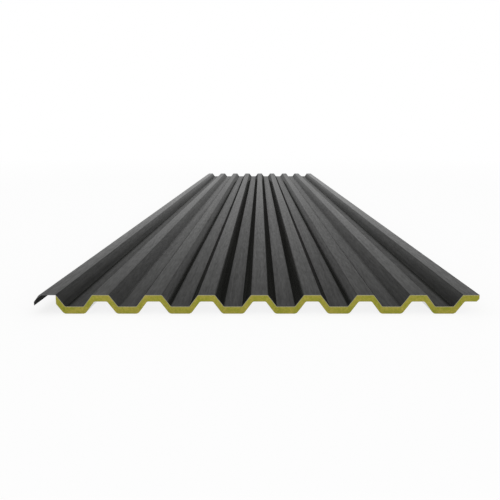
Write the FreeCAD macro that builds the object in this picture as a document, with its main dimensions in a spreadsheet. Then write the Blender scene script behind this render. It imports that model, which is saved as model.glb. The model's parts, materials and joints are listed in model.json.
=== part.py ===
"""Insulated trapezoidal roof panel: a ribbed steel weather sheet, polyurethane foam foamed onto its
underside, and a thin aluminium facing below the foam.

Frame: X across the ribs, Y along them, Z up, in millimetres. The origin is the middle of the
underside of the bounding box, so the panel lies on Z = 0 on the flats of its valleys.

Every layer is a prism along Y. Its section is drawn from the middle of one crest to the middle of
the next, padded to the panel's length, rounded at its bends and repeated across the cover width.
What the two long edges have of their own is then added or cut away: the first rib is bare sheet
with a lip turned down, and laps over the foamed last rib of the panel beside it.
"""

import math
import os

import FreeCAD, Part
import PartDesign
import Sketcher

SIZES = {
    "panel_length": 5000,  # cut length along the ribs
    "pitch": 125,  # from one rib to the next
    "pitches": 8,  # the cover width is this many pitches
    "crest_width": 40,  # flat top of a rib, between its corners before bending
    "valley_width": 43,  # flat of a valley's upper face, between the same corners
    "rib_depth": 28,  # from crest to valley on the sheet's upper face
    "sheet_gauge": 0.75,  # coated steel
    "sheet_bend": 3,  # inside radius of the sheet's bends
    "lip_wall": 17,  # how far down the lip's sloping wall reaches
    "lip_drip": 8.5,  # upright drip edge below that wall
    "edge_reach": 19,  # from the middle of the last crest to the panel's cut edge
    "lap_clearance": 0.5,  # between that edge and the foam of the next panel
    "foam_crest": 15.4,  # foam under a crest
    "foam_valley": 17,  # foam under a valley
    "foam_wall": 12.8,  # foam behind a wall, measured square to it
    "foam_chamfer": 6,  # on the lower corner of the foam's cut edge
    "facing_gauge": 0.1,  # embossed aluminium foil
    "facing_crest_bend": 6,  # inside radius of the facing's bends under the crests
    "facing_valley_bend": 11,  # and of those beside the flats that the panel lies on
}

CLOSE = 1e-4  # two coordinates this near each other are the same corner

doc = FreeCAD.newDocument("roof_panel")
sheet = doc.addObject("Spreadsheet::Sheet", "Sizes")
for row, (alias, value) in enumerate(SIZES.items(), start=1):
    sheet.set(f"A{row}", str(value))
    sheet.setAlias(f"A{row}", alias)
doc.recompute()

# ---- the section, as expressions in the sheet's cells ----
# x is measured from the middle of the first crest, and drops from the upper face of the crests

GAUGE = "Sizes.sheet_gauge"
HALF_CREST = "Sizes.crest_width / 2"
WALL_RUN = "(Sizes.pitch - Sizes.crest_width - Sizes.valley_width) / 2"
WALL_SLANT = f"sqrt(({WALL_RUN}) ^ 2 + Sizes.rib_depth ^ 2)"
RUN_PER_DROP = f"({WALL_RUN}) / Sizes.rib_depth"
SLANT_PER_DROP = f"({WALL_SLANT}) / Sizes.rib_depth"
COVER = "Sizes.pitches * Sizes.pitch"  # to the middle of the last crest
EDGE = f"{COVER} + Sizes.edge_reach"
LIP = f"-({HALF_CREST} + Sizes.lip_wall * ({RUN_PER_DROP}))"  # outer face of the drip edge
UNDERSIDE_DROP = f"Sizes.rib_depth + {GAUGE} + Sizes.foam_valley + Sizes.facing_gauge"


class Face:
    """A face that follows the ribs: its drop under a crest and under a valley, how far behind the
    sheet's upper face it runs along a wall, and the radii of its bends at the crests and valleys."""

    def __init__(self, crest, below_valley, behind_wall, crest_radius, valley_radius):
        self.crest = crest
        self.valley = f"Sizes.rib_depth + {below_valley}"
        self.setback = f"({behind_wall}) * ({SLANT_PER_DROP})"
        self.crest_radius = crest_radius
        self.valley_radius = valley_radius
        self.crest_corner = self.wall_at(self.crest)
        self.valley_corner = self.wall_at(self.valley)

    def wall_at(self, drop):
        """Distance from the middle of the crest to the wall at this drop."""
        return f"{HALF_CREST} + ({drop}) * ({RUN_PER_DROP}) - {self.setback}"

    def bend(self, level, side):
        """Corner of the crest's or the valley's bend, beside the first crest or the second."""
        drop, distance = {
            "crest": (self.crest, self.crest_corner),
            "valley": (self.valley, self.valley_corner),
        }[level]
        return (distance if side == "first" else f"Sizes.pitch - ({distance})", f"-({drop})")

    def pitch_line(self):
        """Corners from the middle of the first crest to the middle of the second."""
        return [
            ("0", f"-({self.crest})"),
            self.bend("crest", "first"),
            self.bend("valley", "first"),
            self.bend("valley", "second"),
            self.bend("crest", "second"),
            ("Sizes.pitch", f"-({self.crest})"),
        ]


TOP = Face("0", "0", "0", f"Sizes.sheet_bend + {GAUGE}", "Sizes.sheet_bend")
UNDER_SHEET = Face(GAUGE, GAUGE, GAUGE, "Sizes.sheet_bend", f"Sizes.sheet_bend + {GAUGE}")
UNDER_FOAM = Face(
    f"{GAUGE} + Sizes.foam_crest",
    f"{GAUGE} + Sizes.foam_valley",
    f"{GAUGE} + Sizes.foam_wall",
    "Sizes.facing_crest_bend + Sizes.facing_gauge",
    "Sizes.facing_valley_bend",
)
UNDERSIDE = Face(
    f"{GAUGE} + Sizes.foam_crest + Sizes.facing_gauge",
    f"{GAUGE} + Sizes.foam_valley + Sizes.facing_gauge",
    f"{GAUGE} + Sizes.foam_wall + Sizes.facing_gauge",
    "Sizes.facing_crest_bend",
    "Sizes.facing_valley_bend + Sizes.facing_gauge",
)


# ---- PartDesign features, each made the tip of its body ----


def number(expression):
    """The expression's value with the sheet as it is now."""
    return float(sheet.evalExpression(expression))


def origin_feature(body, role):
    return next(f for f in body.Origin.OriginFeatures if f.Role == role)


def add(body, kind, name):
    made = body.newObject(f"PartDesign::{kind}", name)
    body.Tip = made
    return made


def outline(body, name, corners):
    """A closed polygon across the panel, each corner held to its expressions for x and z."""
    sketch = body.newObject("Sketcher::SketchObject", name)
    sketch.AttachmentSupport = [(origin_feature(body, "XZ_Plane"), "")]
    sketch.MapMode = "FlatFace"
    points = [FreeCAD.Vector(number(x), number(z), 0) for x, z in corners]
    for start, end in zip(points, points[1:] + points[:1]):
        sketch.addGeometry(Part.LineSegment(start, end), False)
    for i, (x, z) in enumerate(corners):
        before = (i - 1) % len(corners)
        sketch.addConstraint(Sketcher.Constraint("Coincident", before, 2, i, 1))
        for kind, place, expression in (("DistanceX", points[i].x, x), ("DistanceY", points[i].y, z)):
            held = sketch.addConstraint(Sketcher.Constraint(kind, -1, 1, i, 1, place))
            sketch.setExpression(f"Constraints[{held}]", expression)
    return sketch


def prism(body, kind, name, corners):
    """A Pad or a Pocket of this section over the panel's whole length."""
    before = body.Tip.Shape.Volume if body.Tip else 0
    sketch = outline(body, f"{name}_section", corners)
    made = add(body, kind, name)
    made.Profile = sketch
    made.SideType = "Symmetric"
    made.setExpression("Length", "Sizes.panel_length")
    doc.recompute()
    grown = made.Shape.Volume - before
    if (grown > 0) != (kind == "Pad") or not grown:
        raise RuntimeError(f"{kind} {name} changed the volume by {grown}")


def round_bends(body, name, corners, radius):
    """Rounds the edges along the panel through these corners of its section."""
    base = body.Tip
    places = [(number(x), number(z)) for x, z in corners]
    names = []
    for i, edge in enumerate(base.Shape.Edges, start=1):
        start, end = edge.Vertexes[0].Point, edge.Vertexes[-1].Point
        along = math.hypot(start.x - end.x, start.z - end.z) < CLOSE < abs(start.y - end.y)
        if along and any(math.hypot(start.x - x, start.z - z) < CLOSE for x, z in places):
            names.append(f"Edge{i}")
    if len(names) != len(places):
        raise RuntimeError(f"{name}: {len(names)} edges found for {len(places)} corners")
    made = add(body, "Fillet", name)
    made.Base = (base, names)
    made.setExpression("Radius", radius)
    doc.recompute()


def repeat(body, name):
    """The body so far, at every pitch across the panel."""
    made = add(body, "LinearPattern", name)
    made.TransformMode = "Whole shape"
    made.Direction = (origin_feature(body, "X_Axis"), [""])
    made.Mode = "Spacing"
    made.setExpression("Offset", "Sizes.pitch")
    made.setExpression("Occurrences", "Sizes.pitches")
    doc.recompute()


def ribbed_layer(name, upper, lower):
    """A layer between two faces, from the middle of the first crest to the middle of the last."""
    body = doc.addObject("PartDesign::Body", name)
    body.Label = name
    body.setExpression("Placement.Base.x", f"-({LIP} + {EDGE}) / 2")
    body.setExpression("Placement.Base.z", UNDERSIDE_DROP)
    prism(body, "Pad", "one_pitch", upper.pitch_line() + lower.pitch_line()[::-1])
    for face, label in ((upper, "upper"), (lower, "lower")):
        for level, radius in (("crest", face.crest_radius), ("valley", face.valley_radius)):
            corners = [face.bend(level, "first"), face.bend(level, "second")]
            round_bends(body, f"{label}_{level}_bends", corners, radius)
    repeat(body, "all_pitches")
    return body


def roof_sheet():
    """Roll-formed weather sheet, with the bare lapping rib at its first crest."""
    body = ribbed_layer("roof_sheet", TOP, UNDER_SHEET)
    flank = f"{LIP} + {GAUGE}"  # inner face of the drip edge
    half_turn = f"(({WALL_SLANT}) - Sizes.rib_depth) / ({WALL_RUN})"  # tangent of half the drip's bend
    tip = "-(Sizes.lip_wall + Sizes.lip_drip)"
    outer = [("0", "0"), (f"-({HALF_CREST})", "0"), (LIP, "-Sizes.lip_wall"), (LIP, tip)]
    inner = [
        ("0", f"-{GAUGE}"),
        (f"-({UNDER_SHEET.crest_corner})", f"-{GAUGE}"),
        (flank, f"-(Sizes.lip_wall + {GAUGE} * ({half_turn}))"),
        (flank, tip),
    ]
    prism(body, "Pad", "lap_rib", outer + inner[::-1])
    round_bends(body, "lap_rib_outside", outer[1:3], TOP.crest_radius)
    round_bends(body, "lap_rib_inside", inner[1:3], UNDER_SHEET.crest_radius)
    prism(body, "Pad", "edge", [(COVER, "0"), (EDGE, "0"), (EDGE, f"-{GAUGE}"), (COVER, f"-{GAUGE}")])
    return body


def cut_back_at_lap(body):
    """Clears the space under the lapping rib, so that the last rib of the next panel goes in."""
    reach = "Sizes.edge_reach + Sizes.lap_clearance"
    outside = f"-({HALF_CREST})"
    below = f"-({UNDERSIDE.valley})"
    prism(body, "Pocket", "lap_cut", [(outside, "0"), (reach, "0"), (reach, below), (outside, below)])


def foam_core():
    """Foam from the lapping rib's bend to the cut edge under the last crest."""
    body = ribbed_layer("foam_core", UNDER_SHEET, UNDER_FOAM)
    top = f"-({UNDER_SHEET.crest})"
    bottom = f"-({UNDER_FOAM.crest})"
    edge = [
        (COVER, top),
        (EDGE, top),
        (EDGE, f"Sizes.foam_chamfer - ({UNDER_FOAM.crest})"),
        (f"{EDGE} - Sizes.foam_chamfer", bottom),
        (COVER, bottom),
    ]
    prism(body, "Pad", "edge", edge)
    cut_back_at_lap(body)
    return body


def liner_foil():
    """Aluminium facing over the underside of the foam, as far as its chamfer."""
    body = ribbed_layer("liner_foil", UNDER_FOAM, UNDERSIDE)
    top = f"-({UNDER_FOAM.crest})"
    bottom = f"-({UNDERSIDE.crest})"
    end = f"{EDGE} - Sizes.foam_chamfer"
    prism(body, "Pad", "edge", [(COVER, top), (end, top), (end, bottom), (COVER, bottom)])
    cut_back_at_lap(body)
    return body


layers = [roof_sheet(), foam_core(), liner_foil()]
doc.recompute()
failed = [o.Name for o in doc.Objects if "Invalid" in o.State or "Error" in o.State]
for layer in layers:
    shape = layer.Shape
    if shape.isNull() or not shape.isValid() or len(shape.Solids) != 1:
        failed.append(layer.Label)
if failed:
    raise RuntimeError(f"not built: {', '.join(failed)}")

os.makedirs("parts", exist_ok=True)
for layer in layers:
    layer.Shape.exportStep(f"parts/{layer.Label}.step")
    print(layer.Label, f"{layer.Shape.Volume / 1e9:.6f} m3", layer.Shape.BoundBox)
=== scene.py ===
"""Looks of the insulated roof panel: coil-coated ribbed steel, cut polyurethane foam and embossed
foil, on a pale studio floor. Metres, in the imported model's frame: X across the ribs, Y along them,
Z up. The camera looks along the ribs from beyond the near end, at -Y."""

import json
import math

import bpy
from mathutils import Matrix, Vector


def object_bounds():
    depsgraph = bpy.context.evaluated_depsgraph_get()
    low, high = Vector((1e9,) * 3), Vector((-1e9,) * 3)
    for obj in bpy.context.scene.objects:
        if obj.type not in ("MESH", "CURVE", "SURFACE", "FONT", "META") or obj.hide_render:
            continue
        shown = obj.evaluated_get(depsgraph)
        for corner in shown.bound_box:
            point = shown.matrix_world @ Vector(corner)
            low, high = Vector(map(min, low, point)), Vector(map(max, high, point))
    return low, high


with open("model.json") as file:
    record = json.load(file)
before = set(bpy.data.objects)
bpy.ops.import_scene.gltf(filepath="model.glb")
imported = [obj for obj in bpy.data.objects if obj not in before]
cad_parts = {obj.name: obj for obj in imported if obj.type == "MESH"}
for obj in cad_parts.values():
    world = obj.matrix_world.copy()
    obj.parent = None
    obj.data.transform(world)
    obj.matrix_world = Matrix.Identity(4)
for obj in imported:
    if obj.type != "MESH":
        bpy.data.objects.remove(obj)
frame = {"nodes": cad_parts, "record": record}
CAD_LOW, CAD_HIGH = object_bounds()

# ---- camera and stage ----

FOCAL_LENGTH = 45.05  # mm, on the sensor below
SENSOR_WIDTH = 36.0
CAMERA_TILT = 10.23  # degrees below the horizon
CAMERA_BACK = 1.432  # from the near end
CAMERA_ABOVE = 0.3660  # over the crests
CAMERA_ASIDE = 0.001  # to +X of the middle crest's line
PRINCIPAL_SHIFT = -0.0197  # of the frame's width

WHITE = (1, 1, 1, 1)
FLOOR_HALF_SIZE = 60.0
FLOOR_PALE = (0.9, 0.9, 0.9, 1)
FLOOR_GLOW = 0.8  # share of plain white that the camera and gloss see in the floor beside the panel
ALL_WHITE_FROM = 9.0  # distance from the panel's middle where that share reaches 1
GREY_OVERHEAD = 0.5  # how much less than white gloss mirrors there
GREY_BETWEEN = (0.05, 0.35)  # sines of the heights where the grey begins and is full


def mount_place(name):
    mounts = {mount["name"]: mount for mount in frame["record"]["mounts"]}
    return mounts[name]["pos_m"]


def add_camera():
    """Beside the middle crest's line, looking along it and a little down."""
    data = bpy.data.cameras.new("camera")
    data.lens = FOCAL_LENGTH
    data.sensor_width = SENSOR_WIDTH
    data.shift_x = PRINCIPAL_SHIFT
    data.clip_end = 4 * FLOOR_HALF_SIZE
    camera = bpy.data.objects.new("camera", data)
    bpy.context.scene.collection.objects.link(camera)
    middle = mount_place("centre_crest")[0]
    camera.location = (middle + CAMERA_ASIDE, CAD_LOW.y - CAMERA_BACK, CAD_HIGH.z + CAMERA_ABOVE)
    camera.rotation_euler = (math.radians(90 - CAMERA_TILT), 0, 0)
    bpy.context.scene.camera = camera


class Graph:
    """Builds a shader's node tree out of short calls."""

    def __init__(self, tree):
        self.tree = tree
        tree.nodes.clear()

    def feed(self, socket, value):
        """Links another node's output to this socket, or sets its value."""
        if isinstance(value, bpy.types.NodeSocket):
            self.tree.links.new(value, socket)
        else:
            socket.default_value = value

    def feed_each(self, sockets, values):
        for socket, value in zip(sockets, values):
            self.feed(socket, value)

    def node(self, kind, settings=None, **inputs):
        """A node with these settings; each input is named with _ for a space."""
        made = self.tree.nodes.new(kind)
        for name, value in (settings or {}).items():
            setattr(made, name, value)
        for name, value in inputs.items():
            wanted = name.replace("_", " ").lower()
            socket = next(s for s in made.inputs if s.enabled and s.name.lower() == wanted)
            self.feed(socket, value)
        return made

    def math(self, operation, *values):
        made = self.node("ShaderNodeMath", {"operation": operation})
        self.feed_each(made.inputs, values)
        return made.outputs[0]

    def product(self, first, *others):
        for other in others:
            first = self.math("MULTIPLY", first, other)
        return first

    def fit(self, value, low, high, to_low=0.0, to_high=1.0):
        """Brings low..high to to_low..to_high, and stops at either end."""
        return self.node("ShaderNodeMapRange", Value=value, From_Min=low, From_Max=high,
                         To_Min=to_low, To_Max=to_high).outputs[0]

    def blend(self, factor, first, second):
        """From the first colour at 0 to the second at 1."""
        made = self.node("ShaderNodeMix", {"data_type": "RGBA"})
        for name, value in (("Factor", factor), ("A", first), ("B", second)):
            self.feed(next(s for s in made.inputs if s.enabled and s.name == name), value)
        return next(s for s in made.outputs if s.enabled)

    def place(self):
        """Where the surface is, in the model's frame."""
        return self.node("ShaderNodeTexCoord").outputs["Object"]

    def facing(self):
        """The surface's own direction, as a vector."""
        return self.node("ShaderNodeTexCoord").outputs["Normal"]

    def parts(self, vector):
        """The vector's X, Y and Z."""
        return self.node("ShaderNodeSeparateXYZ", Vector=vector).outputs

    def stretched(self, size):
        """Object space, with one unit for each of these lengths."""
        scale = [1 / length for length in size]
        return self.node("ShaderNodeMapping", Vector=self.place(), Scale=scale).outputs[0]

    def noise(self, size, detail=2.0, roughness=0.5):
        """Soft noise from 0 to 1 whose spots are about this long each way."""
        return self.node("ShaderNodeTexNoise", Vector=self.stretched(size), Scale=1.0, Detail=detail,
                         Roughness=roughness).outputs[0]

    def spread(self, noise, to_low=0.0, to_high=1.0):
        """Noise seldom leaves USUAL_NOISE; this brings that stretch of it to to_low..to_high."""
        return self.fit(noise, *USUAL_NOISE, to_low, to_high)

    def cells(self, size, settings=None, **inputs):
        """Cells of about this size: 0 at the middle of each, and more towards its rim."""
        return self.node("ShaderNodeTexVoronoi", settings, Vector=self.stretched(size), Scale=1.0,
                         **inputs).outputs["Distance"]

    def bump(self, height, depth, **inputs):
        return self.node("ShaderNodeBump", Height=height, Distance=depth, **inputs).outputs[0]

    def finish(self, shader):
        out = self.node("ShaderNodeOutputMaterial")
        self.feed(out.inputs["Surface"], shader.outputs[0])


def new_material(name):
    made = bpy.data.materials.new(name)
    made.use_nodes = True
    return made, Graph(made.node_tree)


def floor_material():
    """Diffuse, so that it keeps the panel's shadow, under a white that only what looks at it sees."""
    made, graph = new_material("floor_white")
    pale = graph.node("ShaderNodeBsdfDiffuse", Color=FLOOR_PALE)
    white = graph.node("ShaderNodeEmission", Color=WHITE, Strength=1.0)
    path = graph.node("ShaderNodeLightPath").outputs
    seen = graph.math("MAXIMUM", path["Is Camera Ray"], path["Is Glossy Ray"])
    seen = graph.math("MAXIMUM", seen, path["Is Transmission Ray"])
    away = graph.node("ShaderNodeVectorMath", {"operation": "LENGTH"}, Vector=graph.place())
    glow = graph.fit(away.outputs["Value"], CAD_HIGH.y, ALL_WHITE_FROM, FLOOR_GLOW, 1.0)
    mix = graph.node("ShaderNodeMixShader")
    graph.feed_each(mix.inputs, (graph.product(seen, glow), pale.outputs[0], white.outputs[0]))
    graph.finish(mix)
    return made


def add_floor():
    mesh = bpy.data.meshes.new("floor")
    s = FLOOR_HALF_SIZE
    mesh.from_pydata([(-s, -s, 0), (s, -s, 0), (s, s, 0), (-s, s, 0)], [], [(0, 1, 2, 3)])
    mesh.materials.append(floor_material())
    floor = bpy.data.objects.new("floor", mesh)
    floor.location.z = CAD_LOW.z
    bpy.context.scene.collection.objects.link(floor)


def add_light():
    """The same plain white light from all round. Only gloss mirrors a studio that is a little greyer
    overhead than at the horizon."""
    world = bpy.data.worlds.new("studio")
    bpy.context.scene.world = world
    world.use_nodes = True
    graph = Graph(world.node_tree)
    height = graph.parts(graph.node("ShaderNodeTexCoord").outputs["Generated"])["Z"]
    grey = graph.fit(height, *GREY_BETWEEN, 0.0, GREY_OVERHEAD)
    mirrored = graph.node("ShaderNodeLightPath").outputs["Is Glossy Ray"]
    strength = graph.math("SUBTRACT", 1.0, graph.product(mirrored, grey))
    background = graph.node("ShaderNodeBackground", Color=WHITE, Strength=strength)
    out = graph.node("ShaderNodeOutputWorld")
    graph.feed(out.inputs["Surface"], background.outputs[0])


# ---- materials; lengths are in metres, and those of noise and cells are along X, Y and Z ----

USUAL_NOISE = (0.3, 0.7)
RAYS = 8  # for each look round by the occlusion or bevel node

PAINT_BANDS = (0.05, 3.0, 0.05)
PAINT_STREAKS = (0.007, 0.7, 0.007)
PAINT_GRAIN = (0.005, 0.06, 0.005)
PAINT_DARK = (0.0085, 0.0087, 0.0078, 1)
PAINT_LIGHT = (0.0165, 0.0167, 0.0154, 1)
PAINT_ROUGHNESS = (0.5, 0.7)
ROUGHNESS_GRAIN = (0.2, 0.8)  # stretch of the grain that this goes with
GLOSS_ROUGHNESS = 0.11
ORANGE_PEEL = 0.00002  # depth of the grain in the gloss
ZINC = (0.20, 0.20, 0.20, 1)
ZINC_METALLIC = 0.5
SQUARE_TO_Y = 0.7  # a face whose direction has more than this along Y is a sheared end

GLOSS = 0.31  # weight of the shader's coat on an open crest
GRAIN_SWING, STREAK_SWING, BAND_SWING = 0.3, 0.10, 0.08  # how far each noise moves the gloss
PAINTED_SHADE_WITHIN = 0.04  # painted shade: what lies within this of a surface dulls its gloss
PAINTED_SHADE_POWER = 1.3
FLAT_TO_WALL = (0.1, 0.5)  # painted shade: the gloss falls between these, as the surface turns from flat towards X
SHADED_WALL_GLOSS = (0.20, 0.62)  # painted shade: share of gloss left on the walls: along the middle, and from half way out
HALF_WAY = 0.5  # of the way from the middle to the long edges
EDGE_SHEEN_FROM = 0.6  # of that way, where the painted shade and painted sheen begin
VALLEY_TO_CREST = (0.5, 0.9)  # of the panel's height
PAINTED_VALLEY_SHADE, PAINTED_CREST_SHEEN = -0.35, 0.55  # change of the gloss at the long edges: painted shade in the valleys, painted sheen on the crests

FOAM_BLOTCHES = (0.03, 0.03, 0.03)
FOAM_MOTTLE = (0.006, 0.006, 0.006)
FOAM_CELLS = (0.0013, 0.0013, 0.0013)
BLOTCHES_IN_SHADE, MOTTLE_IN_SHADE = 0.4, 0.6
SHADE_RANGE = (0.38, 0.62)
FOAM_OLIVE = (0.262, 0.272, 0.024, 1)
FOAM_MUSTARD = (0.385, 0.330, 0.060, 1)
FOAM_SKIN = (0.40, 0.37, 0.15, 1)
SKIN_DEPTH = 0.004
SKIN_FROM, SKIN_FULL = 0.1, 0.4  # how far up the cut face's rounded rim faces
SKIN_SHARE = 0.8
CELL_RANGE = (0.1, 0.7)
CELL_BRIGHTNESS = (0.8, 1.08)
FOAM_ROUGHNESS = (0.8, 0.95)
FOAM_SPECULAR = 0.2
MOTTLE_DENTS = 2.0  # times as deep as those of the cells
DENT_DEPTH = 0.0004

FOIL_EMBOSSING = (0.003, 0.003, 0.003)
FOIL_CREASES = (0.03, 0.25, 0.03)
FOIL_SMEARS = (0.012, 0.05, 0.012)
FOIL_BRIGHT = (0.74, 0.75, 0.76, 1)
FOIL_DULL = (0.66, 0.67, 0.68, 1)
FOIL_ROUGHNESS = (0.42, 0.28)  # where it is dull, and where it is bright
EMBOSSING_UNEVENNESS = 0.8
EMBOSSING_DEPTH = 0.0003
CREASE_DEPTH = 0.004


def gloss_with_painted_light(graph, noises_and_swings, along_x):
    """How glossy the steel is, with painted shade and painted sheen in it. Painted shade dulls it on
    the ribs' walls and down between the ribs, and towards the panel's long edges a painted sheen
    brightens the crests and painted shade dulls the valleys."""
    # Painted shade: ambient occlusion dulls the gloss where other surfaces lie near.
    painted_shade_factor = graph.node("ShaderNodeAmbientOcclusion", {"samples": RAYS}, Distance=PAINTED_SHADE_WITHIN)
    painted_shade_factor = graph.math("POWER", painted_shade_factor.outputs["AO"], PAINTED_SHADE_POWER)

    across, _, up = graph.parts(graph.place())
    across = graph.math("ABSOLUTE", across)
    # Painted shade: the ribs' walls and bends are dulled, most along the panel's middle.
    wall_painted_shade = graph.fit(across, 0.0, HALF_WAY * CAD_HIGH.x, *SHADED_WALL_GLOSS)
    wall_painted_shade = graph.fit(graph.math("ABSOLUTE", along_x), *FLAT_TO_WALL, 1.0, wall_painted_shade)

    # Painted sheen on the outer crests and painted shade in the outer valleys.
    at_edges = graph.fit(across, EDGE_SHEEN_FROM * CAD_HIGH.x, CAD_HIGH.x)
    edge_shade_and_sheen = graph.fit(up, *(share * CAD_HIGH.z for share in VALLEY_TO_CREST), PAINTED_VALLEY_SHADE, PAINTED_CREST_SHEEN)
    edge_shade_and_sheen = graph.math("ADD", graph.product(at_edges, edge_shade_and_sheen), 1.0)

    uneven = 1.0
    for noise, swing in noises_and_swings:
        uneven = graph.math("ADD", graph.spread(noise, -swing, swing), uneven)
    return graph.product(uneven, painted_shade_factor, wall_painted_shade, edge_shade_and_sheen, GLOSS)


def coated_steel():
    """Black-grey coil coating, satin, with lengthwise streaks left by the rollers. The shader's
    coat stands for its gloss, which also carries painted shade and painted sheen. The sheared ends are
    bare zinc."""
    made, graph = new_material("coated_steel")
    bands = graph.noise(PAINT_BANDS)
    streaks = graph.noise(PAINT_STREAKS, detail=3.0, roughness=0.6)
    grain = graph.noise(PAINT_GRAIN, detail=4.0, roughness=0.75)
    along_x, along_y, _ = graph.parts(graph.facing())
    sheared = graph.math("GREATER_THAN", graph.math("ABSOLUTE", along_y), SQUARE_TO_Y)
    paint = graph.blend(graph.spread(streaks), PAINT_DARK, PAINT_LIGHT)
    gloss_noises = ((grain, GRAIN_SWING), (streaks, STREAK_SWING), (bands, BAND_SWING))
    shader = graph.node(
        "ShaderNodeBsdfPrincipled",
        Base_Color=graph.blend(sheared, paint, ZINC),
        Roughness=graph.fit(grain, *ROUGHNESS_GRAIN, *PAINT_ROUGHNESS),
        Metallic=graph.product(sheared, ZINC_METALLIC),
        Specular_IOR_Level=0.0,
        Coat_Weight=gloss_with_painted_light(graph, gloss_noises, along_x),
        Coat_Roughness=GLOSS_ROUGHNESS,
        Coat_Normal=graph.bump(grain, ORANGE_PEEL),
    )
    graph.finish(shader)
    return made


def polyurethane_foam():
    """Cut rigid foam: mustard mottled with olive, fine cells, and a paler skin against the steel."""
    made, graph = new_material("polyurethane_foam")
    blotches = graph.noise(FOAM_BLOTCHES)
    mottle = graph.noise(FOAM_MOTTLE, detail=4.0, roughness=0.65)
    cells = graph.cells(FOAM_CELLS)

    shade = graph.math("ADD", graph.product(blotches, BLOTCHES_IN_SHADE),
                       graph.product(mottle, MOTTLE_IN_SHADE))
    colour = graph.blend(graph.fit(shade, *SHADE_RANGE), FOAM_OLIVE, FOAM_MUSTARD)
    rounded = graph.node("ShaderNodeBevel", {"samples": RAYS}, Radius=SKIN_DEPTH).outputs[0]
    skin = graph.fit(graph.parts(rounded)["Z"], SKIN_FROM, SKIN_FULL, 0.0, SKIN_SHARE)
    colour = graph.blend(skin, colour, FOAM_SKIN)
    brightness = graph.fit(cells, *CELL_RANGE, *CELL_BRIGHTNESS)
    colour = graph.node("ShaderNodeVectorMath", {"operation": "SCALE"}, Vector=colour, Scale=brightness)

    dents = graph.math("ADD", cells, graph.product(mottle, MOTTLE_DENTS))
    shader = graph.node(
        "ShaderNodeBsdfPrincipled",
        Base_Color=colour.outputs[0],
        Roughness=graph.spread(mottle, *FOAM_ROUGHNESS),
        Specular_IOR_Level=FOAM_SPECULAR,
        Normal=graph.bump(dents, DENT_DEPTH),
    )
    graph.finish(shader)
    return made


def embossed_foil():
    """Thin aluminium, embossed all over and lightly creased along the ribs."""
    made, graph = new_material("embossed_foil")
    embossing = graph.cells(FOIL_EMBOSSING, {"feature": "SMOOTH_F1"}, Randomness=EMBOSSING_UNEVENNESS)
    creases = graph.noise(FOIL_CREASES, detail=3.0)
    smears = graph.noise(FOIL_SMEARS, detail=4.0)
    creased = graph.bump(creases, CREASE_DEPTH)
    shader = graph.node(
        "ShaderNodeBsdfPrincipled",
        Base_Color=graph.blend(graph.spread(smears), FOIL_DULL, FOIL_BRIGHT),
        Metallic=1.0,
        Roughness=graph.spread(smears, *FOIL_ROUGHNESS),
        Normal=graph.bump(embossing, EMBOSSING_DEPTH, Normal=creased),
    )
    graph.finish(shader)
    return made


def dress(node, material):
    for slot in frame["nodes"][node].material_slots:
        slot.material = material


add_camera()
add_floor()
add_light()
dress("roof_sheet", coated_steel())
dress("foam_core", polyurethane_foam())
dress("liner_foil", embossed_foil())

bpy.context.scene.view_settings.view_transform = "Standard"
